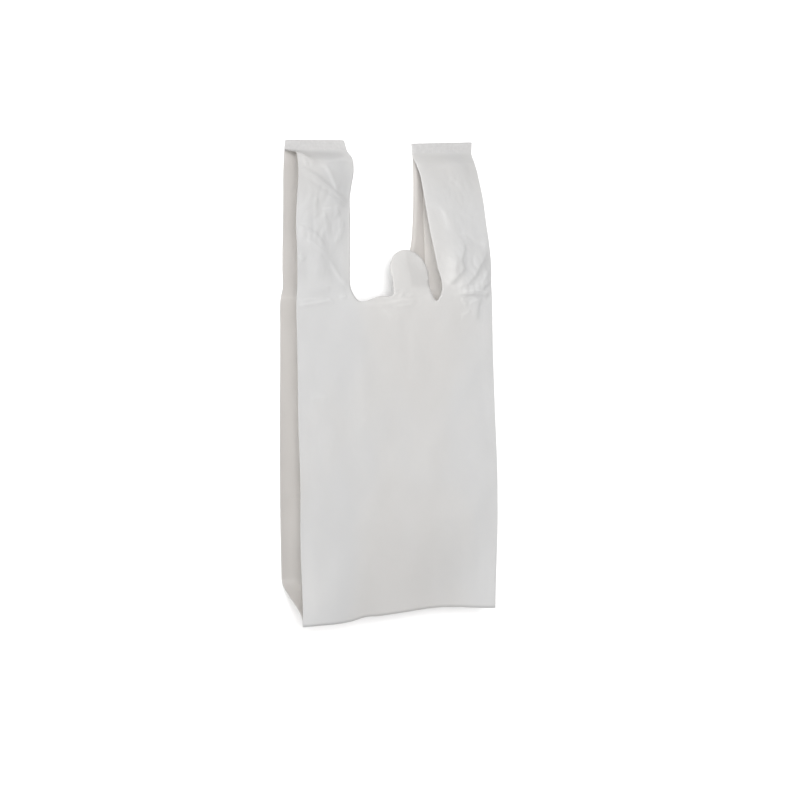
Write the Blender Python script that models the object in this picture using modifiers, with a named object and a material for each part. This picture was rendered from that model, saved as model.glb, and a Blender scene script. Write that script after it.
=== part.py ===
# A plastic carrier bag of the vest kind: one tube of thin film with V-folded side gussets, a weld
# across its bottom, two carrying handles welded shut at their tops, and a round tab in its mouth.
# It lies on its back panel, a little full of air. X is its width, +Y points to the handles, Z is up.

import bpy
import bmesh
import numpy as np

MM = 0.001

# driving dimensions, in millimetres
LENGTH = 450.0  # bottom weld to handle tops
WALL = 0.4  # modelled film thickness
FOLD = 1.2  # height of the small flat left at every fold
GUSSET = 52.5  # depth of one half of a side gusset, a quarter of the bag's width
WELD_BAND = 6.0  # bottom weld, along Y
TOP_BAND = 10.0  # handle top weld, along Y
MOUTH_Y = 77.0  # bottom of the mouth cut
HANDLE_GAP_LEFT = -46.0  # inner edge of the left handle
TAB_X = 17.0
TAB_Y = 103.5
TAB_RADIUS = 19.0
TAB_NECK = 17.5  # half width of the tab where it leaves the front panel
CORNER_RADIUS = 7.0  # of the mouth's corners
SPLIT_Z = 14.0  # between the front and the back film at the mouth
JOIN_Y = 130.0  # above this the gap between the handles is cut through both films alike
CUT_OVERLAP = 2.0  # how far one cutter runs into the next
CUT_PAST = 5.0  # how far a cutter stands out of the bag
CUT_HIGH_Z = 80.0
CUT_LOW_Z = -8.0

TOP_Y = LENGTH / 2
BOTTOM_Y = -LENGTH / 2
STACK = 3 * FOLD  # height of the four layers where they are welded
PANEL_COLUMNS = 12
GUSSET_COLUMNS = 3
LIFT_START_Y = -186.0  # the back panel leaves the ground here and rises to the weld
FRONT_BLEND_Y = -150.0  # the front panel takes on the weld's wave from here down
FRONT_SHARE = 0.7  # how far a gusset's middle fold follows the front fold and not the back one
WELD_INSET = 0.5 * WALL  # how far a weld bar's faces lie inside the walls
WELD_PROUD = 0.5  # how far a weld bar stands out of the tube's end

# Stations along the bag: y, left fold x, front right fold x, back right fold x,
# front film height at the left fold, the same at the right fold, sag of the film between them
STATIONS = (
    (-225.0, -105.0, 105.5, 105.5, 40.0, 43.0, 5.0),
    (-150.0, -106.5, 106.5, 104.0, 40.0, 45.0, 6.0),
    (-115.0, -107.0, 107.0, 104.0, 41.0, 45.0, 6.0),
    (-80.0, -107.0, 107.0, 104.0, 40.0, 44.0, 6.0),
    (-40.0, -107.0, 105.5, 103.0, 38.0, 42.0, 5.0),
    (20.0, -106.5, 104.5, 100.0, 35.0, 38.0, 5.0),
    (60.0, -106.0, 104.0, 94.0, 33.0, 36.0, 5.0),
    (85.0, -104.0, 104.0, 88.0, 31.0, 35.0, 4.0),
    (110.0, -102.5, 104.0, 90.0, 28.0, 35.0, 3.0),
    (140.0, -101.5, 101.0, 94.0, 25.0, 30.0, 2.0),
    (170.0, -101.0, 98.5, 96.5, 23.0, 24.0, 1.0),
    (195.0, -101.0, 97.5, 97.5, 26.0, 18.0, 0.0),
    (207.0, -101.0, 98.0, 98.0, 24.0, 12.0, 0.0),
    (225.0, -101.0, 98.0, 98.0, 12.0, 6.0, 0.0),
)
RING_Y = (
    -219.0, -211.0, -203.0, -195.0, -186.0, -168.0, -150.0, -115.0, -80.0, -40.0,
    0.0, 40.0, 60.0, 85.0, 110.0, 140.0, 170.0, 195.0, 207.0, 215.0,
)
# the bottom weld's wave: x and the height of its upper face
WELD_WAVE = (
    (-105.0, 41.0), (-70.0, 44.0), (-45.0, 33.0), (-28.0, 24.0), (-11.0, 29.0),
    (10.0, 24.0), (45.0, 20.0), (72.0, 22.0), (90.0, 30.0), (106.0, 40.0),
)


def clearScene():
    for obj in list(bpy.data.objects):
        bpy.data.objects.remove(obj, do_unlink=True)


def makeCollection(name):
    coll = bpy.data.collections.new(name)
    bpy.context.scene.collection.children.link(coll)
    return coll


def filmMaterial():
    mat = bpy.data.materials.new("white_film")
    mat.use_nodes = True
    bsdf = mat.node_tree.nodes["Principled BSDF"]
    bsdf.inputs["Base Color"].default_value = (0.66, 0.65, 0.64, 1.0)
    bsdf.inputs["Roughness"].default_value = 0.42
    bsdf.inputs["Metallic"].default_value = 0.0
    return mat


def meshObject(name, verts, faces, coll):
    mesh = bpy.data.meshes.new(name)
    mesh.from_pydata([tuple(np.array(v) * MM) for v in verts], [], faces)
    bm = bmesh.new()
    bm.from_mesh(mesh)
    bmesh.ops.recalc_face_normals(bm, faces=bm.faces)
    bm.to_mesh(mesh)
    bm.free()
    obj = bpy.data.objects.new(name, mesh)
    coll.objects.link(obj)
    return obj


def smooth(t):
    t = np.clip(t, 0.0, 1.0)
    return t * t * (3.0 - 2.0 * t)


def station(y):
    """Fold positions and film heights at one place along the bag."""
    table = np.array(STATIONS)
    return [float(np.interp(y, table[:, 0], table[:, k])) for k in range(1, table.shape[1])]


def waveHeight(x):
    table = np.array(WELD_WAVE)
    return float(np.interp(x, table[:, 0], table[:, 1]))


def toWeld(y):
    """1 along the bottom weld, 0 in the body, for the front film and for the back film."""
    edge = BOTTOM_Y + WELD_BAND
    front = smooth((FRONT_BLEND_Y - y) / (FRONT_BLEND_Y - edge))
    back = smooth((LIFT_START_Y - y) / (LIFT_START_Y - edge))
    return front, back


def toTop(y):
    """1 along the handle tops' weld, 0 below it."""
    start = RING_Y[-2]
    return smooth((y - start) / (TOP_Y - TOP_BAND - start))


def panelHeights(x, y, share):
    """Heights of the front and back film at x, with share 0 at the left fold and 1 at the right."""
    leftZ, rightZ, sag = station(y)[3:]
    frontWeld, backWeld = toWeld(y)
    flat = leftZ + (rightZ - leftZ) * share - sag * np.sin(np.pi * share)
    flat += (STACK - flat) * toTop(y)
    wave = waveHeight(x)
    front = flat + (wave - flat) * frontWeld
    back = (wave - STACK) * backWeld
    return front, back


def gussetReach(height):
    """How far the middle fold stands in from the outer folds when they are this far apart."""
    return float(np.sqrt(GUSSET**2 - (height / 2) ** 2))


def ring(y):
    """One closed section of the tube, counted round from the front left fold."""
    leftX, frontX, backX = station(y)[:3]
    shares = [k / PANEL_COLUMNS for k in range(PANEL_COLUMNS + 1)]
    front = []
    back = []
    for share in shares:
        x = leftX + (frontX - leftX) * share
        front.append((x, y, panelHeights(x, y, share)[0]))
        x = leftX + (backX - leftX) * share
        back.append((x, y, panelHeights(x, y, share)[1]))
    right = gusset(front[::-1], back[::-1], -1.0)
    left = gusset(front, back, 1.0)
    return front + right + back[::-1] + left[::-1]


def gusset(front, back, inward):
    """The V fold between two films that are listed from their outer folds inward, upper fold first."""
    y = front[0][1]
    reach = gussetReach(front[0][2] - back[0][2])
    startX = np.array([front[0][0], back[0][0]])
    middleX = FRONT_SHARE * startX[0] + (1.0 - FRONT_SHARE) * startX[1] + inward * reach
    upper = []
    lower = []
    for k in range(GUSSET_COLUMNS + 1):
        share = k / GUSSET_COLUMNS
        x = startX + (middleX - startX) * share
        frontZ = readHeight(front, x[0])
        backZ = readHeight(back, x[1])
        middleZ = (frontZ + backZ) / 2
        upper.append((x[0], y, frontZ - FOLD + (middleZ + FOLD / 2 - frontZ + FOLD) * share))
        lower.append((x[1], y, backZ + FOLD + (middleZ - FOLD / 2 - backZ - FOLD) * share))
    return upper + lower[::-1]


def readHeight(film, x):
    """The height of a film's section at x, straight between its columns."""
    points = np.array(sorted(film))
    return float(np.interp(x, points[:, 0], points[:, 2]))


def bagTube(coll):
    """An open tube lofted through its sections, given its film thickness by Solidify."""
    rows = [ring(y) for y in (BOTTOM_Y,) + RING_Y + (TOP_Y,)]
    count = len(rows[0])
    verts = [point for row in rows for point in row]
    faces = []
    for j in range(len(rows) - 1):
        for k in range(count):
            after = (k + 1) % count
            faces.append((j * count + k, j * count + after, (j + 1) * count + after, (j + 1) * count + k))
    bag = meshObject("bag_film", verts, faces, coll)
    wall = bag.modifiers.new("film_wall", "SOLIDIFY")
    wall.thickness = WALL * MM
    wall.offset = -1.0
    return bag


def hidden(obj):
    obj.hide_render = True
    obj.display_type = "WIRE"
    return obj


def weldBar(name, y0, y1, coll):
    """A flat bar that fills the welded stack of layers from y0 to y1, following the film's wave."""
    yRead = (y0 + y1) / 2
    leftX, frontX = station(yRead)[:2]
    verts = []
    for k in range(PANEL_COLUMNS + 1):
        share = k / PANEL_COLUMNS
        x = leftX + (frontX - leftX) * share
        front, back = panelHeights(x, yRead, share)
        x += WELD_INSET * (1.0 - 2.0 * share)
        for y in (y0, y1):
            verts.append((x, y, back + WELD_INSET))
            verts.append((x, y, front - WELD_INSET))
    faces = [(0, 1, 3, 2), tuple(4 * PANEL_COLUMNS + c for c in (0, 2, 3, 1))]
    for k in range(PANEL_COLUMNS):
        a = 4 * k
        b = a + 4
        for p, q in ((0, 1), (1, 3), (3, 2), (2, 0)):
            faces.append((a + p, a + q, b + q, b + p))
    return hidden(meshObject(name, verts, faces, coll))


def arc(cx, cy, radius, start, end, steps):
    """Points on a circle, with the angles in degrees."""
    angles = np.radians(np.linspace(start, end, steps))
    return [(cx + radius * np.cos(a), cy + radius * np.sin(a)) for a in angles]


def prism(name, outline, z0, z1, coll):
    """A flat outline drawn up from z0 to z1."""
    count = len(outline)
    verts = [(x, y, z0) for x, y in outline] + [(x, y, z1) for x, y in outline]
    faces = [tuple(range(count))[::-1], tuple(range(count, 2 * count))]
    for k in range(count):
        after = (k + 1) % count
        faces.append((k, after, count + after, count + k))
    return hidden(meshObject(name, verts, faces, coll))


def mouthCutters(coll):
    """Three prisms: the gap between the handles, the front mouth round its tab, and the back mouth."""
    r = CORNER_RADIUS
    left = HANDLE_GAP_LEFT
    reach = TOP_Y + CUT_PAST
    gap = [(left, JOIN_Y), (36.0, JOIN_Y), (34.4, 151.0), (34.6, 189.0), (36.5, 211.0), (37.0, reach)]
    gap.append((left + 5.0, reach))
    gap.append((left + 2.2, TOP_Y - 1.3 * TOP_BAND))
    side = np.sqrt(TAB_RADIUS**2 - TAB_NECK**2)
    sideAngle = np.degrees(np.arctan2(side, TAB_NECK))
    front = arc(left + r, MOUTH_Y + r, r, 180, 270, 5)
    front.append((TAB_X - TAB_NECK, MOUTH_Y))
    front += arc(TAB_X, TAB_Y, TAB_RADIUS, 180 + sideAngle, -sideAngle, 19)
    front.append((TAB_X + TAB_NECK, MOUTH_Y))
    front += [(41.0, MOUTH_Y - 2.0), (46.5, 83.0), (46.0, 94.0), (41.5, 111.0)]
    front += [(37.0, JOIN_Y + CUT_OVERLAP), (left, JOIN_Y + CUT_OVERLAP)]
    back = arc(left + r, MOUTH_Y + r, r, 180, 270, 5)
    back += arc(27.0 - r, MOUTH_Y + r, r, 270, 360, 5)
    back += [(27.0, 90.0), (33.0, 118.0), (36.0, JOIN_Y + CUT_OVERLAP), (left, JOIN_Y + CUT_OVERLAP)]
    return (
        prism("cut_handle_gap", gap, CUT_LOW_Z, CUT_HIGH_Z, coll),
        prism("cut_front_mouth", front, SPLIT_Z, CUT_HIGH_Z, coll),
        prism("cut_back_mouth", back, CUT_LOW_Z, SPLIT_Z, coll),
    )


def addBoolean(obj, other, operation):
    mod = obj.modifiers.new(other.name, "BOOLEAN")
    mod.operation = operation
    mod.solver = "EXACT"
    mod.object = other


clearScene()
parts = makeCollection("plastic_carrier_bag")
cutters = makeCollection("cutters")
bag = bagTube(parts)
bag.data.materials.append(filmMaterial())
bottomBar = weldBar("weld_bottom", BOTTOM_Y - WELD_PROUD, BOTTOM_Y + WELD_BAND, cutters)
topBar = weldBar("weld_top", TOP_Y - TOP_BAND, TOP_Y + WELD_PROUD, cutters)
addBoolean(bag, bottomBar, "UNION")
addBoolean(bag, topBar, "UNION")
for cutter in mouthCutters(cutters):
    addBoolean(bag, cutter, "DIFFERENCE")
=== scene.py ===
import math
import bpy
import numpy as np
from mathutils import Matrix, Vector


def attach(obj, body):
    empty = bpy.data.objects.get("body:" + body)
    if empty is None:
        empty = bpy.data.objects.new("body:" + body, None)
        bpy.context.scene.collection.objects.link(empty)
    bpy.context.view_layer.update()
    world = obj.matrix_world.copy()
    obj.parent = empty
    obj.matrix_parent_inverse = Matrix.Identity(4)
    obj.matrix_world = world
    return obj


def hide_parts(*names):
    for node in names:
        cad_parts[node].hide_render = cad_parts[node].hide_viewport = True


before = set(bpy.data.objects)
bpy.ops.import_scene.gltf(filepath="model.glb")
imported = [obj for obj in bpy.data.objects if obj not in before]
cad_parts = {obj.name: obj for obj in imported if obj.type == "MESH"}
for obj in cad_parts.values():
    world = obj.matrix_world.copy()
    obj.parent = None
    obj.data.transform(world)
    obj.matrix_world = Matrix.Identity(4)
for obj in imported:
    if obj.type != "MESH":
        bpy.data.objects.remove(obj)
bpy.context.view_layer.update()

mm = 0.001

# what a user would change on the bag, in millimetres unless noted
filmBag = {
    "node": "bag_film",
    "name": "filmBag",
    "halfWidth": 107.0,  # half of the bag's width laid flat
    "halfGap": 47.0,  # half of the gap between the handles, laid flat
    "halfLength": 225.0,
    "gusset": 52.5,  # depth of one gusset half
    "tabMiddle": 15.2,  # the tab's middle, right of the bag's
    "wall": 0.12,  # film thickness
    "fold": 0.34,  # height of the small flat at each fold
    "rowStep": 3.0,  # spacing of the mesh rows along the bag
    "fineStep": 1.2,  # and from fineFrom up
    "fineFrom": 61.0,
    "frontColumns": (48, 46),  # in each outer strip, and between them
    "backColumns": (10, 14),
    "gussetColumns": 8,
    "foldDrop": 0.47,  # how far the right handle's middle fold sinks, as a share of the height there
    "dropFrom": 50.0,  # where along the bag that starts, and the length it takes
    "dropOver": 40.0,
    "belly": 0.06,  # bulge of each gusset half, as a share of the height there
    "topBand": 9.0,  # handle weld, along the bag
    "topRise": 12.0,  # length over which the film swells below it
    "cornerRise": 2.2,  # and at the left handle's outer fold, where it springs up at once
    "cornerWidth": 22.0,  # the one turns into the other over this width
    "strapArch": 2.2,  # rise of the film across each handle, from here along the bag
    "archFrom": 70.0,
    "archOver": 30.0,
    "swell": (0.30, 62.0),  # height and wavelength of the film's broad unevenness
    "dents": (0.22, 26.0),  # and of its dents
    "ripple": (0.25, 48.0),  # and of the back film's unevenness
    "softFrom": 14.0,  # they fade out over this width towards the outer folds
    "bottomBand": 5.0,
    "frontSettle": 95.0,  # length over which the front takes on the weld's wave
    "backSettle": 34.0,  # length over which the back rises to the weld
    "liftOver": 40.0,  # length over which the film is drawn up the bag at the bottom weld
    "rightDrop": (3.6, 0.025),  # the right handle's top lies lower: by this, less this share of x
    "rightDropFrom": 150.0,
    "rightDropOver": 70.0,
    "bead": 0.3,  # radius of the melted edge along each weld
    "beadSides": 8,
    "beadStep": 2.5,
    "seed": 11,
}

# Stations along the bag: y, then across the front film the x of its left fold, left handle edge,
# right handle edge and right fold, then the heights of the same four lines.
frontStations = np.array((
    (-225.0, -104.5, -46.0, 46.5, 106.8, 38.0, 35.0, 38.0, 43.0),
    (-190.0, -105.0, -46.5, 47.0, 107.0, 38.5, 35.5, 39.0, 44.0),
    (-150.0, -106.5, -47.0, 47.0, 106.5, 40.0, 36.0, 39.5, 45.0),
    (-100.0, -107.0, -47.0, 47.0, 105.8, 41.0, 36.5, 40.0, 45.0),
    (-40.0, -107.0, -47.0, 47.0, 104.8, 37.5, 34.0, 37.5, 42.0),
    (20.0, -106.5, -46.5, 47.0, 104.5, 35.0, 31.5, 35.0, 38.0),
    (55.0, -106.5, -46.5, 48.0, 104.5, 33.5, 30.0, 34.0, 36.5),
    (77.0, -106.0, -46.0, 50.0, 104.0, 32.0, 28.0, 34.0, 36.0),
    (90.0, -104.0, -46.5, 51.0, 103.8, 30.0, 26.0, 32.0, 35.0),
    (108.0, -102.8, -45.5, 46.5, 103.5, 28.0, 24.0, 30.0, 35.0),
    (127.0, -102.0, -44.5, 43.5, 102.0, 26.0, 22.0, 27.0, 34.0),
    (150.0, -101.5, -43.5, 42.0, 100.5, 23.0, 20.0, 20.0, 30.0),
    (170.0, -101.0, -43.0, 41.0, 101.0, 24.0, 20.0, 15.0, 24.0),
    (195.0, -101.0, -37.0, 39.2, 101.3, 27.0, 17.0, 10.0, 13.5),
    (205.0, -101.0, -35.0, 36.8, 100.3, 26.0, 13.0, 7.2, 10.0),
    (210.5, -101.0, -33.6, 35.8, 101.2, 24.6, 11.6, 6.2, 8.7),
    (215.0, -101.0, -35.4, 35.5, 102.0, 23.0, 10.0, 5.5, 7.5),
    (225.0, -100.8, -38.8, 35.0, 102.5, 20.0, 8.0, 5.0, 6.0),
))
# The same four lines on the back film, which lies on the ground.
backStations = np.array((
    (-225.0, -104.5, -46.0, 46.5, 106.8),
    (-150.0, -106.5, -47.0, 47.0, 104.0),
    (-40.0, -107.2, -47.0, 47.0, 103.0),
    (20.0, -106.6, -47.0, 45.0, 100.0),
    (55.0, -106.5, -47.0, 37.0, 95.0),
    (77.0, -106.2, -47.0, 27.0, 90.0),
    (90.0, -103.5, -46.5, 26.5, 88.5),
    (108.0, -104.0, -45.0, 30.5, 90.0),
    (127.0, -103.8, -44.0, 35.0, 92.5),
    (150.0, -103.3, -43.0, 36.8, 95.0),
    (170.0, -103.0, -42.0, 37.2, 96.5),
    (195.0, -102.8, -40.0, 37.0, 99.5),
    (215.0, -101.8, -38.5, 36.5, 101.5),
    (225.0, -100.8, -38.5, 35.0, 102.5),
))
# The bottom weld: x, the height of its upper face, and how far its edge lies up the bag there.
weldWave = np.array((
    (-105.0, 41.0, 0.0), (-88.0, 43.0, 0.3), (-70.0, 42.3, 0.0), (-52.0, 39.5, 0.6), (-34.0, 36.0, 2.8),
    (-18.0, 33.5, 2.0), (0.0, 32.0, 2.3), (20.0, 30.5, 3.0), (45.0, 28.5, 3.6), (70.0, 29.5, 2.4),
    (88.0, 34.0, 0.8), (105.5, 41.0, 0.0),
))

# Creases pressed into the front film: height in mm (up is positive), how far it reaches to the left
# and to the right of its line in mm, how sharp its top is from 0 (rounded) to 1 (a fold), how
# much paler the film is painted along it (up to 1), partly stretch whitening and partly painted
# highlight, or darker (down to -1), painted shade, then the points it passes, flat on the panel.
frontCreases = (
    (2.03, 2.2, 6, 0.8, -0.25, ((-104.4, 199.7), (-91.3, 193.4), (-76.5, 183.6), (-61.6, 173.7),
     (-47.6, 166.1))),
    (1.49, 2, 5, 0.8, -0.2, ((-104.3, 189.9), (-92.0, 183.6), (-78.9, 177.2), (-64.1, 169.7),
     (-51.0, 162.6))),
    (1.35, 5, 1.8, 0.8, 0.25, ((-86.8, 203.7), (-78.5, 200.9), (-72.9, 191.7), (-66.4, 181.2),
     (-61.1, 176.6))),
    (0.94, 3, 1.5, 0.8, 0.2, ((-102.0, 211.1), (-98.0, 201.4))),
    (0.81, 3, 1.5, 0.8, 0.15, ((-94.4, 208.3), (-92.5, 200.8))),
    (0.8, 2.5, 5, 0.6, -0.1, ((-85.4, 173.8), (-87.3, 165.2), (-85.3, 152.5))),
    (1.08, 2, 5, 0.6, 0.2, ((-80.9, 162.8), (-63.8, 160.4), (-59.3, 154.6))),
    (0.9, 3.5, 6, 0.5, -0.1, ((-77.9, 159.4), (-74.1, 146.6), (-76.5, 136.3))),
    (0.9, 1.6, 4, 0.9, -0.2, ((-105.6, 146.0), (-96.0, 143.4), (-87.7, 139.8), (-80.9, 132.9),
     (-75.4, 124.7))),
    (0.9, 4, 1.8, 0.8, 0.25, ((-99.2, 135.4), (-88.2, 128.4), (-75.5, 120.1))),
    (1.0, 4, 2, 0.8, 0.25, ((-71.2, 114.3), (-65.5, 106.1), (-58.3, 96.7), (-49.0, 89.5))),
    (0.54, 4, 1.8, 0.7, 0.07, ((-60.1, 154.6), (-59.0, 141.8), (-65.3, 128.0))),
    (0.47, 1.8, 4, 0.7, -0.07, ((-54.3, 151.1), (-55.8, 141.8), (-60.2, 130.3))),
    (0.81, 3, 1.5, 0.8, 0.15, ((-104.7, 119.4), (-99.8, 114.2))),
    (1.1, 1.2, 2.5, 0.9, 0.42, ((-107, 77.5), (-91.1, 78.8), (-74.6, 79.2))),
    (1.35, 1.3, 2.5, 0.9, 0.68, ((-107, 73.4), (-88.4, 75.0), (-70.6, 77.4), (-63.8, 73.9))),
    (0.81, 1.2, 2, 0.9, 0.38, ((-59.4, 79.1), (-51.9, 80.9))),
    (0.94, 8, 5, 0.3, -0.1, ((-102.4, 85.1), (-84.2, 84.6), (-69.9, 91.2), (-47.3, 86.6))),
    (0.7, 5, 5, 0.6, 0.1, ((48.3, 169.2), (57.0, 166.8), (64.5, 159.6), (68.1, 150.2), (72.2, 135.9))),
    (0.3, 3.6, 2.4, 0.7, 0.15, ((64.5, 159.6), (65.6, 147.8), (65.4, 140.7))),
    (-1.2, 8.4, 6, 0.7, 0.24, ((72.1, 135.3), (84.2, 135.8), (92.0, 128.6), (104.9, 124.9))),
    (1.25, 2.4, 6, 0.8, -0.2, ((78.1, 132.3), (77.4, 121.6), (72.9, 112.2), (73.5, 103.9),
     (61.9, 94.5), (53.2, 86.9))),
    (1.4, 5.4, 6, 0.6, -0.1, ((69.7, 117.0), (65.1, 107.5), (62.4, 99.2), (53.9, 88.7))),
    (1.7, 4.2, 6, 0.7, -0.2, ((104.8, 120.8), (94.8, 109.5), (86.5, 98.9), (76.2, 90.1),
     (62.3, 85.9))),
    (1.46, 6, 3, 0.7, 0.24, ((105.8, 104.6), (93.1, 89.2), (77.6, 83.5))),
    (1.46, 1.8, 4.8, 0.8, -0.3, ((106.3, 90.2), (96.1, 85.8), (87.5, 81.6))),
    (1.22, 2.5, 1.2, 0.9, -0.5, ((63.9, 80.0), (77.5, 79.0), (105.6, 78.0))),
    (1.22, 1.2, 2.5, 0.9, 0.5, ((68.4, 82.3), (86.7, 83.1), (105.8, 81.1))),
    (0.94, 2.5, 1.3, 0.8, 0.5, ((68.5, 76.0), (75.7, 68.7))),
    (0.94, 1.3, 2.5, 0.8, 0.6, ((77.8, 71.0), (90.4, 74.7))),
    (0.34, 2.5, 1.5, 0.8, 0.1, ((77.5, 192.3), (88.1, 181.0))),
    (0.27, 2.5, 1.5, 0.8, 0.1, ((75.0, 186.9), (78.3, 182.7))),
    (0.34, 3, 2, 0.6, 0.1, ((82.9, 159.0), (93.7, 149.4))),
    (0.27, 2.5, 1.5, 0.7, 0.07, ((97.8, 189.3), (104.8, 184.5))),
    (0.34, 2, 1.5, 0.8, 0.1, ((48.8, 205.9), (53.7, 199.9))),
    (0.8, 1.2, 2, 0.8, 0.4, ((-4.1, 79.3), (0.0, 83.9))),
    (0.8, 1.2, 2, 0.8, 0.4, ((1.7, 79.1), (6.4, 83.7))),
    (0.9, 1.2, 2, 0.8, 0.5, ((-8.6, 74.1), (-0.8, 74.7), (8.2, 76.4), (18.2, 73.5))),
    (0.94, 1.2, 2, 0.8, 0.45, ((-3.2, 69.9), (7.2, 70.8), (17.6, 71.7))),
    (0.68, 3, 1.5, 0.7, 0.3, ((-14.9, 66.6), (-2.8, 59.3))),
    (0.68, 1.5, 3, 0.7, 0.4, ((69.7, 58.6), (81.0, 63.8))),
    (1.08, 3, 6, 0.4, -0.2, ((91.1, 76.7), (88.3, 65.4), (87.7, 53.5))),
    (0.68, 1.8, 1.8, 0.7, 0.2, ((-40.0, 72.0), (-20.0, 72.5), (10.0, 73.0))),
    (-0.42, 7, 7, 0.1, 0, ((8.0, 68.0), (12.0, 40.0), (14.0, 4.0))),
    (0.36, 9, 9, 0.1, 0, ((-40.0, 60.0), (-34.0, 0.0), (-38.0, -60.0))),
    (0.68, 1.5, 2.5, 0.8, 0.3, ((-94.0, -11.0), (-74.0, -12.5))),
    (0.68, 6, 4, 0.3, 0, ((-60.0, -222.0), (-40.0, -196.0), (-30.0, -160.0))),
    (0.68, 7, 5, 0.2, 0, ((92.0, -222.0), (82.0, -190.0), (80.0, -150.0))),
)

# Mostly painted light and shade: how much paler, or darker where noted; then where, in mm on the flat
# panel.
filmMarks = {
    "foldLine": (0.9, 79.0, 1.6),  # white line in the gussets, partly stretch whitening, partly painted highlight: amount, place, reach
    "gussetTopPaintedLight": (1.2, 199.0, 14.0),  # painted light against the shade next to the weld: amount, start, length
    "gussetSlantShadow": (0.3, 173.0, 0.35),  # painted shadow above a slanted fold, darker: amount, place at the outer fold, slope
    "gussetLowShade": (0.45, 20.0, 90.0),  # painted shade, darker low on the bag: amount, start, length down the bag
    "gussetDeepPaintedLight": (0.35, 25.0, 60.0, 190.0),  # painted light deep in the right handle's gusset: amount, start across the gusset, start, end
    "deepEase": 15.0,
    "tab": (0.2, 20.0, 80.0),  # painted shade, darker: amount, half of the width, start
    "tabOverShade": (0.6, 84.0),  # more painted shade where the tab lies over the handle: amount, start
    "handle": (0.35, 88.0),  # darker: amount, start
    "handleEnds": (190.0, 203.0),  # where it fades out in the left handle and in the right
    "inside": (1.3, 48.0, 63.0, 60.0),  # painted light where the back film shows in the handle's shade: amount, left side, right side, start
}

# Crumpled places: where on the flat panel, how far it reaches across and along, height, wavelength.
crumples = (
    (78.0, 106.0, 24.0, 30.0, 0.2, 13.0),
    (-78.0, 150.0, 26.0, 40.0, 0.25, 15.0),
    (6.0, 79.0, 20.0, 8.0, 0.3, 8.0),
    (86.0, 80.0, 22.0, 9.0, 0.36, 9.0),
    (80.0, 175.0, 26.0, 30.0, 0.14, 15.0),
)


def smooth(t):
    # 3t^2 - 2t^3 on t held between 0 and 1
    t = np.clip(t, 0.0, 1.0)
    return t * t * (3.0 - 2.0 * t)


def ramp(value, start, length):
    # 0 up to the start, 1 from the length past it, eased between
    return smooth((value - start) / length)


def curveThrough(x, xs, ys):
    # a smooth curve through points: cubic Hermite pieces whose slopes at each point are the
    # average of the slopes on both sides, set to zero where those differ in sign
    step = np.diff(xs)
    slope = np.diff(ys) / step
    tangent = np.concatenate((slope[:1], (slope[1:] + slope[:-1]) / 2, slope[-1:]))
    turn = slope[1:] * slope[:-1] <= 0
    tangent[1:-1][turn] = 0.0
    x = np.clip(x, xs[0], xs[-1])
    k = np.clip(np.searchsorted(xs, x, side="right") - 1, 0, len(xs) - 2)
    t = (x - xs[k]) / step[k]
    a = ys[k] * (1 + 2 * t) * (1 - t) ** 2 + ys[k + 1] * t * t * (3 - 2 * t)
    b = tangent[k] * t * (1 - t) ** 2 + tangent[k + 1] * t * t * (t - 1)
    return a + b * step[k]


def panelLines():
    # the four lines that run along each panel, laid flat: the outer folds and the handle edges
    b = filmBag
    return np.array((-b["halfWidth"], -b["halfGap"], b["halfGap"], b["halfWidth"]))


def stationValues(stations, y, columns):
    # the stations' values in the given columns, led smoothly along the bag
    return np.array([curveThrough(y, stations[:, 0], stations[:, k]) for k in columns])


def acrossLines(flatX, values):
    # values on the four lines, joined straight from one to the next
    lines = panelLines()
    k = np.clip(np.searchsorted(lines, flatX, side="right") - 1, 0, 2)
    t = (flatX - lines[k]) / (lines[k + 1] - lines[k])
    rows = np.arange(values.shape[1])
    return values[k, rows] * (1 - t) + values[k + 1, rows] * t


def cubicAcross(flatX, values):
    # the cubic through values on the four lines: the sum over k of value_k times the product of
    # (x - line_m) / (line_k - line_m) over the other lines m
    lines = panelLines()
    total = np.zeros_like(flatX)
    for k in range(4):
        part = np.ones_like(flatX)
        for m in range(4):
            if m != k:
                part *= (flatX - lines[m]) / (lines[k] - lines[m])
        total += values[k] * part
    return total


def waveNoise(x, y, size, seed, count=18):
    # a sum of plane sine waves of about one wavelength, in directions drawn from the seed
    rng = np.random.default_rng(seed)
    total = np.zeros_like(x)
    for _ in range(count):
        angle = rng.uniform(0, 2 * np.pi)
        length = size * rng.uniform(0.7, 1.5)
        phase = rng.uniform(0, 2 * np.pi)
        total += np.sin(2 * np.pi * (x * np.cos(angle) + y * np.sin(angle)) / length + phase)
    return total / math.sqrt(count / 2)


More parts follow.
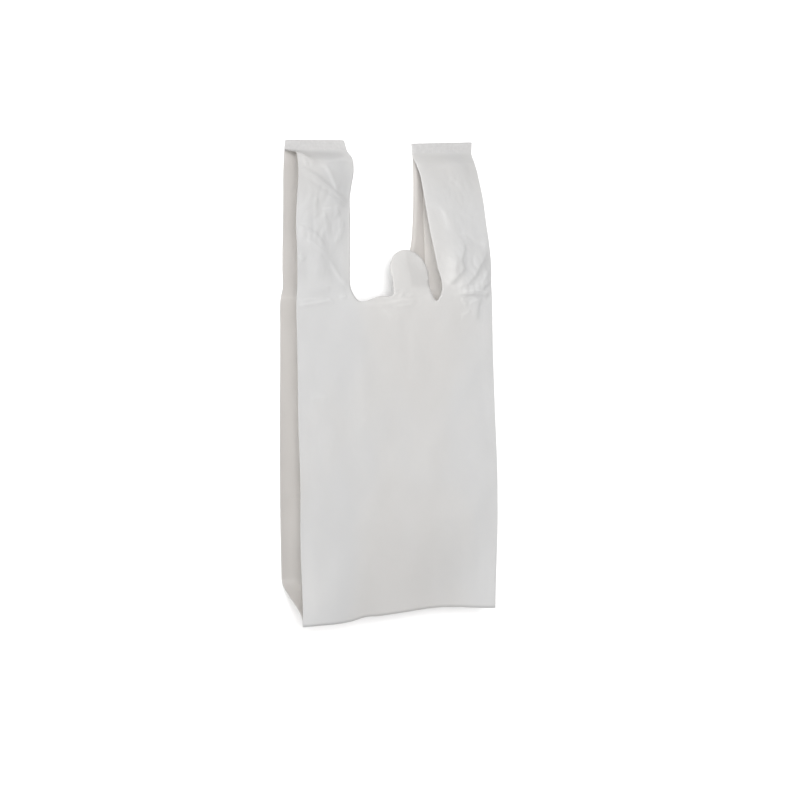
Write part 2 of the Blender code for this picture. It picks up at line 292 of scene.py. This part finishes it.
def creaseShape(x, y, creases):
    # for each crease: its height times exp(-(d/w)^2), or exp(-d/w) where it is sharp, with d the
    # distance to its line, fading out along the last fifth at each end; and the line painted along it,
    # paler (partly stretch whitening, partly painted highlight) or darker (painted shade),
    # exp(-(d/n)^2) with n its narrower reach
    total = np.zeros_like(x)
    marks = np.zeros_like(x)
    for height, toLeft, toRight, sharp, mark, points in creases:
        pts = np.array(points)
        runs = np.linalg.norm(np.diff(pts, axis=0), axis=1)
        start = np.concatenate(((0.0,), np.cumsum(runs)))
        best = np.full_like(x, 1e9)
        along = np.zeros_like(x)
        width = np.full_like(x, toLeft)
        for k in range(len(runs)):
            d = (pts[k + 1] - pts[k]) / runs[k]
            s = np.clip((x - pts[k, 0]) * d[0] + (y - pts[k, 1]) * d[1], 0, runs[k])
            far = np.hypot(x - pts[k, 0] - s * d[0], y - pts[k, 1] - s * d[1])
            near = far < best
            best = np.where(near, far, best)
            along = np.where(near, start[k] + s, along)
            left = d[0] * (y - pts[k, 1]) - d[1] * (x - pts[k, 0]) > 0
            width = np.where(near, np.where(left, toLeft, toRight), width)
        share = along / start[-1]
        ends = ramp(share, 0.0, 0.2) * (1 - ramp(share, 0.8, 0.2))
        dome = np.exp(-((best / width) ** 2))
        fold = np.exp(-np.sqrt(best**2 + 0.35**2) / (0.75 * width))
        total += height * (0.12 + 0.88 * ends) * (dome * (1 - sharp) + fold * sharp)
        marks += mark * ends * np.exp(-((best / (0.9 * min(toLeft, toRight))) ** 2))
    return total, marks


def crumpleHeight(x, y):
    # sharp small folds: height * |noise| * exp(-(dx/across)^2 - (dy/along)^2)
    total = np.zeros_like(x)
    for k, (cx, cy, across, along, height, size) in enumerate(crumples):
        reach = np.exp(-(((x - cx) / across) ** 2) - ((y - cy) / along) ** 2)
        total += height * reach * np.abs(waveNoise(x, y * 0.75, size, filmBag["seed"] + 20 + k, 9))
    return total


def toTop(y, rise):
    # 0 on the open film, 1 on the handle weld, eased over the given length below it
    b = filmBag
    return ramp(y, b["halfLength"] - b["topBand"] - rise, rise)


def toBottom(y, length):
    # 0 on the open film, 1 on the bottom weld, eased over the given length above it
    b = filmBag
    edge = -b["halfLength"] + b["bottomBand"]
    return smooth((edge + length - y) / length)


def stackHeight():
    # from the lowest to the highest of the four film layers in a weld
    return 3 * filmBag["fold"]


def weldHeight(x):
    return curveThrough(x, weldWave[:, 0], weldWave[:, 1])


def liftEdge(points):
    # draws the film near the bottom weld up the bag by the weld's own amount there, and lowers the
    # right handle's top along the bag a little
    b = filmBag
    x, y = points[..., 0], points[..., 1]
    lift = curveThrough(x, weldWave[:, 0], weldWave[:, 2])
    points[..., 1] += lift * (1 - ramp(y, -b["halfLength"], b["liftOver"]))
    most, less = b["rightDrop"]
    drop = np.where(x > 0, most - less * x, 0.0)
    points[..., 1] -= drop * ramp(y, b["rightDropFrom"], b["rightDropOver"])
    return points


def frontFilm(flatX, y):
    # the front film: straight across between the four station lines, with the cubic through their
    # heights, arch * sin(pi * t) across each handle, then dents and creases; pressed flat at the
    # handle welds by stack + (z - stack) * free, and led into the bottom weld's wave
    b = filmBag
    x = acrossLines(flatX, stationValues(frontStations, y, (1, 2, 3, 4)))
    z = cubicAcross(flatX, stationValues(frontStations, y, (5, 6, 7, 8)))
    handle = ramp(y, b["archFrom"], b["archOver"])
    strip = np.clip((np.abs(flatX) - b["halfGap"]) / (b["halfWidth"] - b["halfGap"]), 0, 1)
    z += handle * b["strapArch"] * np.sin(np.pi * strip)

    fromFold = ramp(flatX, -b["halfWidth"], b["cornerWidth"])
    free = 1 - toTop(y, b["cornerRise"] + (b["topRise"] - b["cornerRise"]) * fromFold)
    blend = toBottom(y, b["frontSettle"])

    height, length = b["swell"]
    soft = height * waveNoise(flatX, y, length, b["seed"]) * (1 + 0.8 * handle)
    height, length = b["dents"]
    soft += height * waveNoise(flatX, y * 0.55, length, b["seed"] + 1) * (0.5 + 0.8 * handle)
    soft *= smooth((b["halfWidth"] - np.abs(flatX)) / b["softFrom"])
    raised, marks = creaseShape(flatX, y, frontCreases)
    z += soft + (raised + crumpleHeight(flatX, y)) * (1 - 0.65 * blend)

    stack = stackHeight()
    z = stack + (z - stack) * free
    z += (weldHeight(x) - z) * blend
    return np.stack((x, y, z), axis=-1), marks


def backFilm(flatX, y):
    # the back film lies flat on the ground but for a ripple, height * (1 + 0.4 * noise), and rises
    # only to meet the bottom weld
    b = filmBag
    x = acrossLines(flatX, stationValues(backStations, y, (1, 2, 3, 4)))
    blend = toBottom(y, b["backSettle"])
    height, length = b["ripple"]
    ripple = height * (1 + 0.4 * waveNoise(flatX, y, length, b["seed"] + 2))
    inner = smooth(8 * np.clip(1 - np.abs(flatX) / b["halfWidth"], 0, 1))
    z = (weldHeight(x) - stackHeight()) * blend
    z += ripple * inner * (1 - blend) * (1 - toTop(y, b["topRise"]))
    return np.stack((x, y, z), axis=-1)


def heightAt(grid, x):
    # a sheet's height at the given x in each of its rows, straight between its columns
    return np.array([np.interp(x[r], grid[r, :, 0], grid[r, :, 2]) for r in range(len(x))])


def gussetSheet(frontGrid, backGrid, side, inward):
    # the two halves of a gusset, from each outer fold to the middle fold, which stands in by
    # sqrt(gusset^2 - (height / 2)^2); each half runs straight between the front's and the back's
    # own heights there, with a belly sin(pi * t), and the right handle's middle fold lies low
    b = filmBag
    front = frontGrid[:, side]
    back = backGrid[:, side]
    y = front[:, 1, None]
    height = np.maximum(front[:, 2] - back[:, 2], stackHeight())
    reach = np.sqrt(b["gusset"] ** 2 - (height / 2) ** 2) * inward
    middleX = 0.7 * front[:, 0] + 0.3 * back[:, 0] + reach
    t = np.linspace(0, 1, b["gussetColumns"] + 1)[None, :]
    uneven = waveNoise(t * 40 + 0 * y, y + 0 * t, 55.0, b["seed"] + 3)
    belly = np.sin(np.pi * t) * (b["belly"] * (height - stackHeight()))[:, None] * (1 + 0.35 * uneven)

    upperX = front[:, 0, None] + (middleX - front[:, 0])[:, None] * t
    lowerX = back[:, 0, None] + (middleX - back[:, 0])[:, None] * t
    frontZ = heightAt(frontGrid, upperX)
    backZ = heightAt(backGrid, lowerX)
    handle = ramp(y, b["dropFrom"], b["dropOver"]) if side else 0.0
    share = 0.5 - b["foldDrop"] * handle
    middle = backZ + np.maximum((frontZ - backZ) * share, stackHeight() / 2)
    half = b["fold"] / 2
    upperZ = (frontZ - b["fold"]) * (1 - t) + (middle + half) * t - belly
    lowerZ = (backZ + b["fold"]) * (1 - t) + (middle - half) * t + belly * 0.6
    upper = np.stack((upperX, y + 0 * t, upperZ), axis=-1)
    lower = np.stack((lowerX, y + 0 * t, lowerZ), axis=-1)
    return upper, lower


def gussetMarks(across, y, left):
    # in the gussets: a white line where the bag was folded over, exp(-(d/reach)^2), partly stretch
    # whitening and partly painted highlight, and painted light next to the weld; on the left, a painted
    # shadow above a slanted fold and painted shade low on the bag; on the right, painted light deep in
    # the handle
    m = filmMarks
    share, place, reach = m["foldLine"]
    marks = share * np.exp(-(((y - place) / reach) ** 2))
    share, start, length = m["gussetTopPaintedLight"]
    marks += share * ramp(y, start, length)
    if left:
        share, place, slope = m["gussetSlantShadow"]
        marks -= share * ramp(y - slope * across, place, 3.0) * ramp(across, 0.0, 9.0)
        share, start, length = m["gussetLowShade"]
        return marks - share * ramp(-y, -start, length)
    share, inside, start, end = m["gussetDeepPaintedLight"]
    ease = m["deepEase"]
    return marks + share * ramp(across, inside, ease) * ramp(y, start, ease) * (1 - ramp(y, end, ease))


def frontMarks(x, y):
    # the front film is painted darker in the handles, up to a little below their welds, and painted shade
    # darkens the tab, more so on the tab's right half, which lies over the handle's back film
    b, m = filmBag, filmMarks
    fromMiddle = x - b["tabMiddle"]
    share, half, start = m["tab"]
    tab = (1 - ramp(np.abs(fromMiddle), half, 4.0)) * ramp(y, start, 10.0)
    marks = -share * tab
    share, start = m["tabOverShade"]
    marks -= share * tab * ramp(fromMiddle, 0.0, 0.8) * ramp(y, start, 6.0)
    share, start = m["handle"]
    end = np.where(x < 0, *m["handleEnds"])
    strap = ramp(np.abs(x), b["halfGap"], 6.0)
    return marks - share * strap * ramp(y, start, 16.0) * (1 - ramp(y, end, 12.0))


def backMarks(x, y):
    # painted light: the back film is painted paler along the right handle, where it shows from inside in
    # the shade of the front film
    share, left, right, start = filmMarks["inside"]
    return share * ramp(x, left, 9.0) * (1 - ramp(x, right, 12.0)) * ramp(y, start, 20.0)


def rounded(points, rounds=2):
    # cuts every corner of a closed outline at a quarter and three quarters of its sides
    for _ in range(rounds):
        after = np.roll(points, -1, axis=0)
        near = 0.75 * points + 0.25 * after
        far = 0.25 * points + 0.75 * after
        points = np.stack((near, far), axis=1).reshape(-1, 2)
    return points


def outlineDistance(x, y, outline):
    # distance to a closed outline, less than zero inside it: the least distance to its sides, with
    # the sign from how often a line to the right crosses them
    best = np.full_like(x, 1e9)
    inside = np.zeros(x.shape, dtype=bool)
    for p, q in zip(outline, np.roll(outline, -1, axis=0)):
        d = q - p
        s = np.clip(((x - p[0]) * d[0] + (y - p[1]) * d[1]) / (d @ d), 0, 1)
        best = np.minimum(best, np.hypot(x - p[0] - s * d[0], y - p[1] - s * d[1]))
        if p[1] != q[1]:
            crosses = ((p[1] > y) != (q[1] > y)) & (x < d[0] * (y - p[1]) / d[1] + p[0])
            inside ^= crosses
    return np.where(inside, -best, best)


def mouthOutline():
    # the punched hole in the front film, flat: down the left handle's edge, along the mouth, round
    # the tab and up the right handle's edge, then out past the handle tops
    left = [(-47.0, 400.0), (-47.0, 98.0), (-46.9, 90.0), (-46.0, 85.5), (-43.8, 80.5), (-41.3, 76.8)]
    low = [(-38.0, 75.0), (-33.0, 75.2), (-28.0, 76.4), (-22.0, 78.6), (-17.0, 79.9), (-11.0, 79.5),
           (-6.5, 79.0), (-4.2, 80.2), (-3.3, 83.5), (-3.3, 90.0)]
    angle = np.radians(np.linspace(200, -20, 25))
    tab = list(zip(filmBag["tabMiddle"] + 19.9 * np.cos(angle), 102.6 + 19.9 * np.sin(angle)))
    right = [(33.3, 90.5), (34.0, 86.0), (36.3, 79.8), (38.8, 75.4), (40.9, 73.2), (42.6, 75.2),
             (44.8, 79.8), (46.4, 84.5), (47.0, 92.0), (47.0, 400.0)]
    return rounded(np.array(left + low + tab + right))


def backOutline():
    # the same slot in the back film, a little deeper and without the tab
    corner = np.radians(np.linspace(0, 90, 6))
    turn = 11.0
    low = 72.5
    left = list(zip(-47.0 + turn - turn * np.cos(corner), low + turn - turn * np.sin(corner)))
    right = list(zip(47.0 - turn + turn * np.sin(corner), low + turn - turn * np.cos(corner)))
    return rounded(np.array([(-47.0, 400.0)] + left + [(0.0, low)] + right + [(47.0, 400.0)]), 1)


def edgeVertices(faces, count):
    # vertices on edges that only one face uses
    a = faces.ravel()
    b = np.roll(faces, -1, axis=1).ravel()
    keep = a != b
    key = np.minimum(a, b)[keep].astype(np.int64) * count + np.maximum(a, b)[keep]
    found, times = np.unique(key, return_counts=True)
    rim = found[times == 1]
    return np.unique(np.concatenate((rim // count, rim % count)))


def punch(flatX, y, faces, outline, moving):
    # drops the faces whose middle lies in the hole, then draws the rim of what is left on to its
    # outline by steps against the distance's slope
    def distance(px, py):
        return outlineDistance(px, py, outline)

    inHole = distance(flatX[faces].mean(axis=1), y[faces].mean(axis=1)) < 0
    faces = faces[~inHole]
    rim = edgeVertices(faces, len(flatX))
    near = np.abs(distance(flatX[rim], y[rim])) < 2.5
    rim = rim[near & moving[rim]]
    for _ in range(4):
        d = distance(flatX[rim], y[rim])
        e = 0.05
        gx = (distance(flatX[rim] + e, y[rim]) - distance(flatX[rim] - e, y[rim])) / (2 * e)
        gy = (distance(flatX[rim], y[rim] + e) - distance(flatX[rim], y[rim] - e)) / (2 * e)
        size = np.maximum(gx * gx + gy * gy, 0.2)
        flatX[rim] -= d * gx / size
        y[rim] -= d * gy / size
    return faces


def columnsAcross(count):
    # columns across a panel, even in each strip between the handles' edges
    b = filmBag
    outer, inner = count
    left = np.linspace(-b["halfWidth"], -b["halfGap"], outer + 1)
    middle = np.linspace(-b["halfGap"], b["halfGap"], inner + 1)
    right = np.linspace(b["halfGap"], b["halfWidth"], outer + 1)
    return np.concatenate((left, middle[1:], right[1:]))


def gridFaces(index):
    # one four-sided face between each two rows and two columns of a table of vertex numbers
    a, b, c, d = index[:-1, :-1], index[:-1, 1:], index[1:, 1:], index[1:, :-1]
    return np.stack((a, b, c, d), axis=-1).reshape(-1, 4)


def flatSheet(columns, y, outline):
    # a panel laid flat: its vertex places and table of vertex numbers, and its faces with the
    # outline punched out of them
    x = columnsAcross(columns)
    gridX, gridY = np.meshgrid(x, y)
    flatX, flatY = gridX.ravel().copy(), gridY.ravel().copy()
    index = np.arange(len(y) * len(x)).reshape(len(y), len(x))
    inner = np.abs(flatX) < filmBag["halfWidth"] - 1
    return flatX, flatY, index, punch(flatX, flatY, gridFaces(index), outline, inner)


def bagMesh():
    # both panels and both gussets as one sheet: its points, faces, flat places with a third value
    # of 1 on the back film, and marks
    b = filmBag
    low = np.arange(-b["halfLength"], b["fineFrom"], b["rowStep"])
    fineRows = int((b["halfLength"] - b["fineFrom"]) / b["fineStep"]) + 1
    y = np.concatenate((low, np.linspace(b["fineFrom"], b["halfLength"], fineRows)))
    rows = len(y)
    fx, fy, frontIndex, frontFaces = flatSheet(b["frontColumns"], y, mouthOutline())
    bx, by, backIndex, backFaces = flatSheet(b["backColumns"], y, backOutline())
    backIndex = backIndex + frontIndex.size

    frontPoints, creaseMarks = frontFilm(fx, fy)
    backPoints = backFilm(bx, by)
    frontGrid = frontPoints.reshape(rows, -1, 3)
    backGrid = backPoints.reshape(rows, -1, 3)
    sheets = [frontPoints, backPoints]
    marks = [creaseMarks + frontMarks(fx, fy), backMarks(bx, by)]
    flats = [np.stack((fx, fy, 0 * fx), axis=-1), np.stack((bx, by, 1 + 0 * bx), axis=-1)]
    faces = [frontFaces, backFaces[:, ::-1] + frontIndex.size]
    offset = frontIndex.size + backIndex.size
    for side, inward in ((0, 1.0), (-1, -1.0)):
        upper, lower = gussetSheet(frontGrid, backGrid, side, inward)
        n = upper.shape[1]
        up = offset + np.arange(rows * n).reshape(rows, n)
        down = up + rows * n
        ends = frontIndex[:, side, None], backIndex[:, side, None]
        quads = gridFaces(np.concatenate((ends[0], up, down[:, ::-1], ends[1]), axis=1))
        faces.append(quads[:, ::-1] if side == 0 else quads)
        sheets += [upper.reshape(-1, 3), lower.reshape(-1, 3)]
        across = np.linspace(0, b["gusset"], n)
        for fold in (1.0, 2.0):
            gu, gv = np.meshgrid(inward * -(b["halfWidth"] + across * fold), y)
            flats.append(np.stack((gu.ravel(), gv.ravel(), 0 * gu.ravel()), axis=-1))
            marks.append(gussetMarks(*np.meshgrid(across, y), side == 0).ravel())
        offset += 2 * rows * n
    points = liftEdge(np.concatenate(sheets)) * mm
    return points, np.concatenate(faces), np.concatenate(flats), np.concatenate(marks)


def newObject(name, points, faces):
    mesh = bpy.data.meshes.new(name)
    mesh.from_pydata(points, [], faces)
    mesh.update()
    obj = bpy.data.objects.new(name, mesh)
    bpy.context.scene.collection.objects.link(obj)
    return obj


def makeBag():
    b = filmBag
    points, faces, flat, marks = bagMesh()
    used, renumbered = np.unique(faces, return_inverse=True)
    obj = newObject(b["name"], points[used].tolist(), renumbered.reshape(-1, 4).tolist())
    mesh = obj.data
    mesh.shade_smooth()
    mesh.set_sharp_from_angle(angle=math.radians(50))
    layer = mesh.attributes.new("flatPlace", "FLOAT_VECTOR", "POINT")
    layer.data.foreach_set("vector", (flat[used] * mm).ravel())
    # the marks, painted light and shade with the folds' stretch whitening, go to the shader
    layer = mesh.attributes.new("paintedLightAndFoldMark", "FLOAT", "POINT")
    layer.data.foreach_set("value", marks[used])
    wall = obj.modifiers.new("filmWall", "SOLIDIFY")
    wall.thickness = b["wall"] * mm
    wall.offset = -1.0
    return obj


def weldBead(name, x0, x1, y, height):
    # a thin round bar along a weld's edge: circles of one radius carried along the edge's height,
    # narrowed to about a third at both ends and closed there
    b = filmBag
    steps = max(12, int((x1 - x0) / b["beadStep"]))
    sides = b["beadSides"]
    x = np.linspace(x0, x1, steps)
    angle = np.linspace(0, 2 * np.pi, sides, endpoint=False)
    radius = np.full(steps, b["bead"])
    radius[[0, -1]] *= 0.35
    z = height(x)
    y = liftEdge(np.stack((x, y + 0 * x, z), axis=-1))[:, 1]
    ring = np.stack((
        x[:, None] + 0 * angle,
        y[:, None] + radius[:, None] * np.cos(angle),
        z[:, None] + radius[:, None] * np.sin(angle),
    ), axis=-1)
    index = np.arange(steps * sides).reshape(steps, sides)
    faces = gridFaces(np.concatenate((index, index[:, :1]), axis=1)).tolist()
    ends = [index[0].tolist(), index[-1][::-1].tolist()]
    obj = newObject(name, (ring.reshape(-1, 3) * mm).tolist(), faces + ends)
    obj.data.shade_smooth()
    return obj


class Socket:
    # wraps a node's output so that + - * / on it add Math nodes
    def __init__(self, nodes, socket):
        self.nodes = nodes
        self.socket = socket

    def math(self, operation, a, b=None):
        return self.nodes.add("ShaderNodeMath", {"operation": operation}, {0: a, 1: b})

    def __add__(self, other):
        return self.math("ADD", self, other)

    __radd__ = __add__

    def __sub__(self, other):
        return self.math("SUBTRACT", self, other)

    def __rsub__(self, other):
        return self.math("SUBTRACT", other, self)

    def __mul__(self, other):
        return self.math("MULTIPLY", self, other)

    __rmul__ = __mul__

    def __truediv__(self, other):
        return self.math("DIVIDE", self, other)

    def absolute(self):
        return self.math("ABSOLUTE", self)


class Nodes:
    # one material's tree; add() makes any node from its type, settings and socket values or links
    def __init__(self, material):
        material.use_nodes = True
        self.tree = material.node_tree
        self.tree.nodes.clear()

    def add(self, kind, settings=None, inputs=None, output=0):
        node = self.tree.nodes.new(kind)
        for key, value in (settings or {}).items():
            if key == "stops":
                ramp = node.color_ramp
                while len(ramp.elements) > 1:
                    ramp.elements.remove(ramp.elements[-1])
                for n, (place, colour) in enumerate(value):
                    stop = ramp.elements[0] if n == 0 else ramp.elements.new(place)
                    stop.position = place
                    stop.color = colour
            else:
                setattr(node, key, value)
        for key, value in (inputs or {}).items():
            if value is None:
                continue
            if isinstance(value, Socket):
                self.tree.links.new(value.socket, node.inputs[key])
            else:
                node.inputs[key].default_value = value
        return None if output is None else Socket(self, node.outputs[output])

    def part(self, vector, index):
        return self.add("ShaderNodeSeparateXYZ", {}, {0: vector}, output=index)

    def noise(self, vector, scale, detail, roughness):
        return self.add("ShaderNodeTexNoise", {}, {
            "Vector": vector, "Scale": scale, "Detail": detail, "Roughness": roughness})

    def between(self, value, low, high):
        # 0 up to the lower bound, 1 from the upper on, both in mm
        return self.add("ShaderNodeMapRange", {"clamp": True}, {0: value, 1: low * mm, 2: high * mm})

    def mix(self, share, first, second):
        return self.add("ShaderNodeMix", {"data_type": "RGBA"}, {0: share, 6: first, 7: second}, output=2)

    def scaled(self, colour, factor):
        return self.add("ShaderNodeVectorMath", {"operation": "SCALE"}, {0: colour, "Scale": factor})


filmFinish = {
    "warm": (0.520, 0.512, 0.503, 1.0),
    "plain": (0.522, 0.517, 0.511, 1.0),
    "cool": (0.512, 0.512, 0.513, 1.0),
    # painted warm tint of the shade inside the bag
    "backShadeTint": (0.533, 0.508, 0.485, 1.0),
    # the gussets' colours are painted light and shade
    "gussetShadeColour": (0.655, 0.637, 0.618, 1.0),
    "gussetDeepPaintedLight": (0.95, 0.925, 0.898, 1.0),
    "weldColour": (0.535, 0.529, 0.527, 1.0),
    "markShare": 0.13,  # how much a mark, painted light or shade or a fold's stretch whitening, lightens or darkens the film
    "passed": (0.86, 0.853, 0.843, 1.0),  # colour of the light that passes it
    "through": 0.30,  # share of the light that passes the film, and a gusset
    "gussetThrough": 0.66,
    "weldMarks": 0.35,  # how uneven the pressed welds are
    "crinkle": 0.32,  # strength of the fine crinkle, and its height in mm
    "crinkleHeight": 0.5,
    "roughness": 0.40,
}


def filmMaterial():
    f = filmFinish
    b = filmBag
    material = bpy.data.materials.new("whiteFilm")
    n = Nodes(material)
    place = n.add("ShaderNodeAttribute", {"attribute_name": "flatPlace"}, output=1)
    mark = n.add("ShaderNodeAttribute", {"attribute_name": "paintedLightAndFoldMark"}, output=2)
    across, along, behind = (n.part(place, k) for k in range(3))
    aside = across.absolute()

    # faint warm and cool clouds in the film, drawn out a little along the bag
    drawn = n.add("ShaderNodeMapping", {}, {"Vector": place, "Scale": (1.0, 0.6, 1.0)})
    cloud = n.noise(drawn, 11.0, 3.0, 0.5)
    cooler = n.between((across - 12 * mm).absolute(), 15, 75)
    stops = ((0.36, f["warm"]), (0.5, f["plain"]), (0.64, f["cool"]))
    colour = n.add("ShaderNodeValToRGB", {"stops": stops}, {0: cloud + (cooler - 0.5) * 0.3})

    # the back film, seen from inside, is painted warmer: the warm tint of the shade inside the bag
    colour = n.mix(behind / mm, colour, f["backShadeTint"])

    # the gussets get their own warmer colour, painted to set their shade, and paler from the outer folds
    # in: painted light that makes up for the shade there
    side = n.between(aside, b["halfWidth"] + 0.2, b["halfWidth"] + 1.2)
    depth = n.between(aside, b["halfWidth"] + 3, b["halfWidth"] + 26)
    colour = n.mix(side, colour, n.mix(depth, f["gussetShadeColour"], f["gussetDeepPaintedLight"]))

    # the pressed handle welds are paler
    weldStart = b["halfLength"] - b["topBand"]
    weld = n.between(along, weldStart - 0.6, weldStart + 0.2)
    colour = n.mix(weld, colour, f["weldColour"])

    # the marks paint light and shade, with the folds' stretch whitening, and the welds have small uneven
    # marks
    colour = n.scaled(colour, 1.0 + mark * f["markShare"])
    pressed = n.noise(place, 330.0, 2.0, 0.6)
    colour = n.scaled(colour, 1.0 + weld * (pressed - 0.5) * f["weldMarks"])

    # fine crinkle from two noises, and the weld's small cross ticks
    crinkle = n.noise(place, 170.0, 6.0, 0.62)
    fine = n.noise(drawn, 240.0, 3.0, 0.6)
    ticks = n.add("ShaderNodeTexWave", {"wave_type": "BANDS", "bands_direction": "X"},
                  {"Vector": place, "Scale": 150.0, "Distortion": 1.5, "Detail": 1.0}, output=1)
    height = crinkle * 0.55 + fine * 0.25 + ticks * weld * 0.25
    normal = n.add("ShaderNodeBump", {}, {
        "Strength": f["crinkle"], "Distance": f["crinkleHeight"] * mm, "Height": height})
    rough = f["roughness"] + (cloud - 0.5) * 0.12 - weld * 0.05
    film = n.add("ShaderNodeBsdfPrincipled", {}, {
        "Base Color": colour, "Roughness": rough, "Normal": normal, "Specular IOR Level": 0.45, "IOR": 1.5})

    # part of the light passes the film, more of it in the gussets
    through = f["through"] + (f["gussetThrough"] - f["through"]) * side
    glow = n.add("ShaderNodeBsdfTranslucent", {}, {"Color": f["passed"], "Normal": normal})
    mixed = n.add("ShaderNodeMixShader", {}, {0: through, 1: film, 2: glow})
    n.add("ShaderNodeOutputMaterial", {}, {"Surface": mixed}, output=None)
    return material


studio = {
    "floor": (0.97, 0.97, 0.97, 1.0),
    "floorSize": 4.0,  # half of its side, in metres like all lengths here
    "floorLevel": -0.0002,
    "world": 0.85,
    "key": 20.5,  # watts, then where the lamp is, what it faces and how wide it is
    "keyPlace": (-0.55, 0.35, 1.35),
    "keyAim": (0, 0, 0),
    "keySize": 1.1,
    "fill": 16.0,
    "fillPlace": (-2.4, 0.6, 0.8),
    "fillAim": (0, 0.1, 0),
    "fillSize": 1.6,
    "viewAngle": 29.9,  # degrees from the front panel's normal, towards -X
    "distance": 2.4055,
    "alongBag": 0.1972,  # the camera's place along the bag
    "tilt": 5.19,  # degrees towards the bottom, then to the right, then clockwise
    "pan": 0.474,
    "roll": 0.05,
    "lens": 113.84,  # mm
}


def makeFloor():
    s = studio
    size, low = s["floorSize"], s["floorLevel"]
    corners = [(-size, -size, low), (size, -size, low), (size, size, low), (-size, size, low)]
    floor = newObject("floor", corners, [(0, 1, 2, 3)])
    material = bpy.data.materials.new("floorPaint")
    n = Nodes(material)
    surface = n.add("ShaderNodeBsdfPrincipled", {}, {"Base Color": s["floor"], "Roughness": 0.9})
    n.add("ShaderNodeOutputMaterial", {}, {"Surface": surface}, output=None)
    floor.data.materials.append(material)


def areaLamp(name, place, aim, size, power):
    light = bpy.data.lights.new(name, "AREA")
    light.shape = "DISK"
    light.size = size
    light.energy = power
    obj = bpy.data.objects.new(name, light)
    bpy.context.scene.collection.objects.link(obj)
    obj.location = place
    obj.rotation_euler = (Vector(aim) - Vector(place)).to_track_quat("-Z", "Y").to_euler()
    return obj


def makeLight():
    s = studio
    world = bpy.data.worlds.new("softRoom")
    bpy.context.scene.world = world
    world.use_nodes = True
    back = world.node_tree.nodes["Background"]
    back.inputs["Color"].default_value = (1.0, 1.0, 1.0, 1.0)
    back.inputs["Strength"].default_value = s["world"]
    areaLamp("keyLamp", s["keyPlace"], s["keyAim"], s["keySize"], s["key"])
    areaLamp("fillLamp", s["fillPlace"], s["fillAim"], s["fillSize"], s["fill"])


def turned(first, second, degrees):
    # two directions at a right angle, turned in their plane from the first towards the second
    c, d = math.cos(math.radians(degrees)), math.sin(math.radians(degrees))
    return first * c + second * d, second * c - first * d


def makeCamera():
    # looks straight down, is swung to the left side, then tilted, panned and rolled
    s = studio
    forward, right, up = Vector((0, 0, -1)), Vector((1, 0, 0)), Vector((0, 1, 0))
    forward, right = turned(forward, right, s["viewAngle"])
    place = s["alongBag"] * up - s["distance"] * forward
    forward, up = turned(forward, up, -s["tilt"])
    forward, right = turned(forward, right, s["pan"])
    right, up = turned(right, up, s["roll"])
    data = bpy.data.cameras.new("camera")
    data.lens = s["lens"]
    data.sensor_width = 36.0
    camera = bpy.data.objects.new("camera", data)
    bpy.context.scene.collection.objects.link(camera)
    turn = Matrix((right, up, -forward)).transposed().to_4x4()
    camera.matrix_world = Matrix.Translation(place) @ turn
    bpy.context.scene.camera = camera


print("making camera, floor and light")
makeCamera()
makeFloor()
makeLight()
bpy.context.scene.view_settings.view_transform = "Standard"

print("making the bag's film")
film = filmMaterial()
bag = makeBag()
bag.data.materials.append(film)
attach(bag, "root")
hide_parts(filmBag["node"])

print("making the weld edges")
stackMiddle = stackHeight() / 2
beads = (
    ("bottomBead", -104.4, 106.7, -filmBag["halfLength"], lambda x: weldHeight(x) - stackMiddle),
    ("leftTopBead", -100.7, -38.6, filmBag["halfLength"], lambda x: 0 * x + stackMiddle),
    ("rightTopBead", 35.1, 102.4, filmBag["halfLength"], lambda x: 0 * x + stackMiddle),
)
for name, x0, x1, y, height in beads:
    bead = weldBead(name, x0, x1, y, height)
    bead.data.materials.append(film)
    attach(bead, "root")
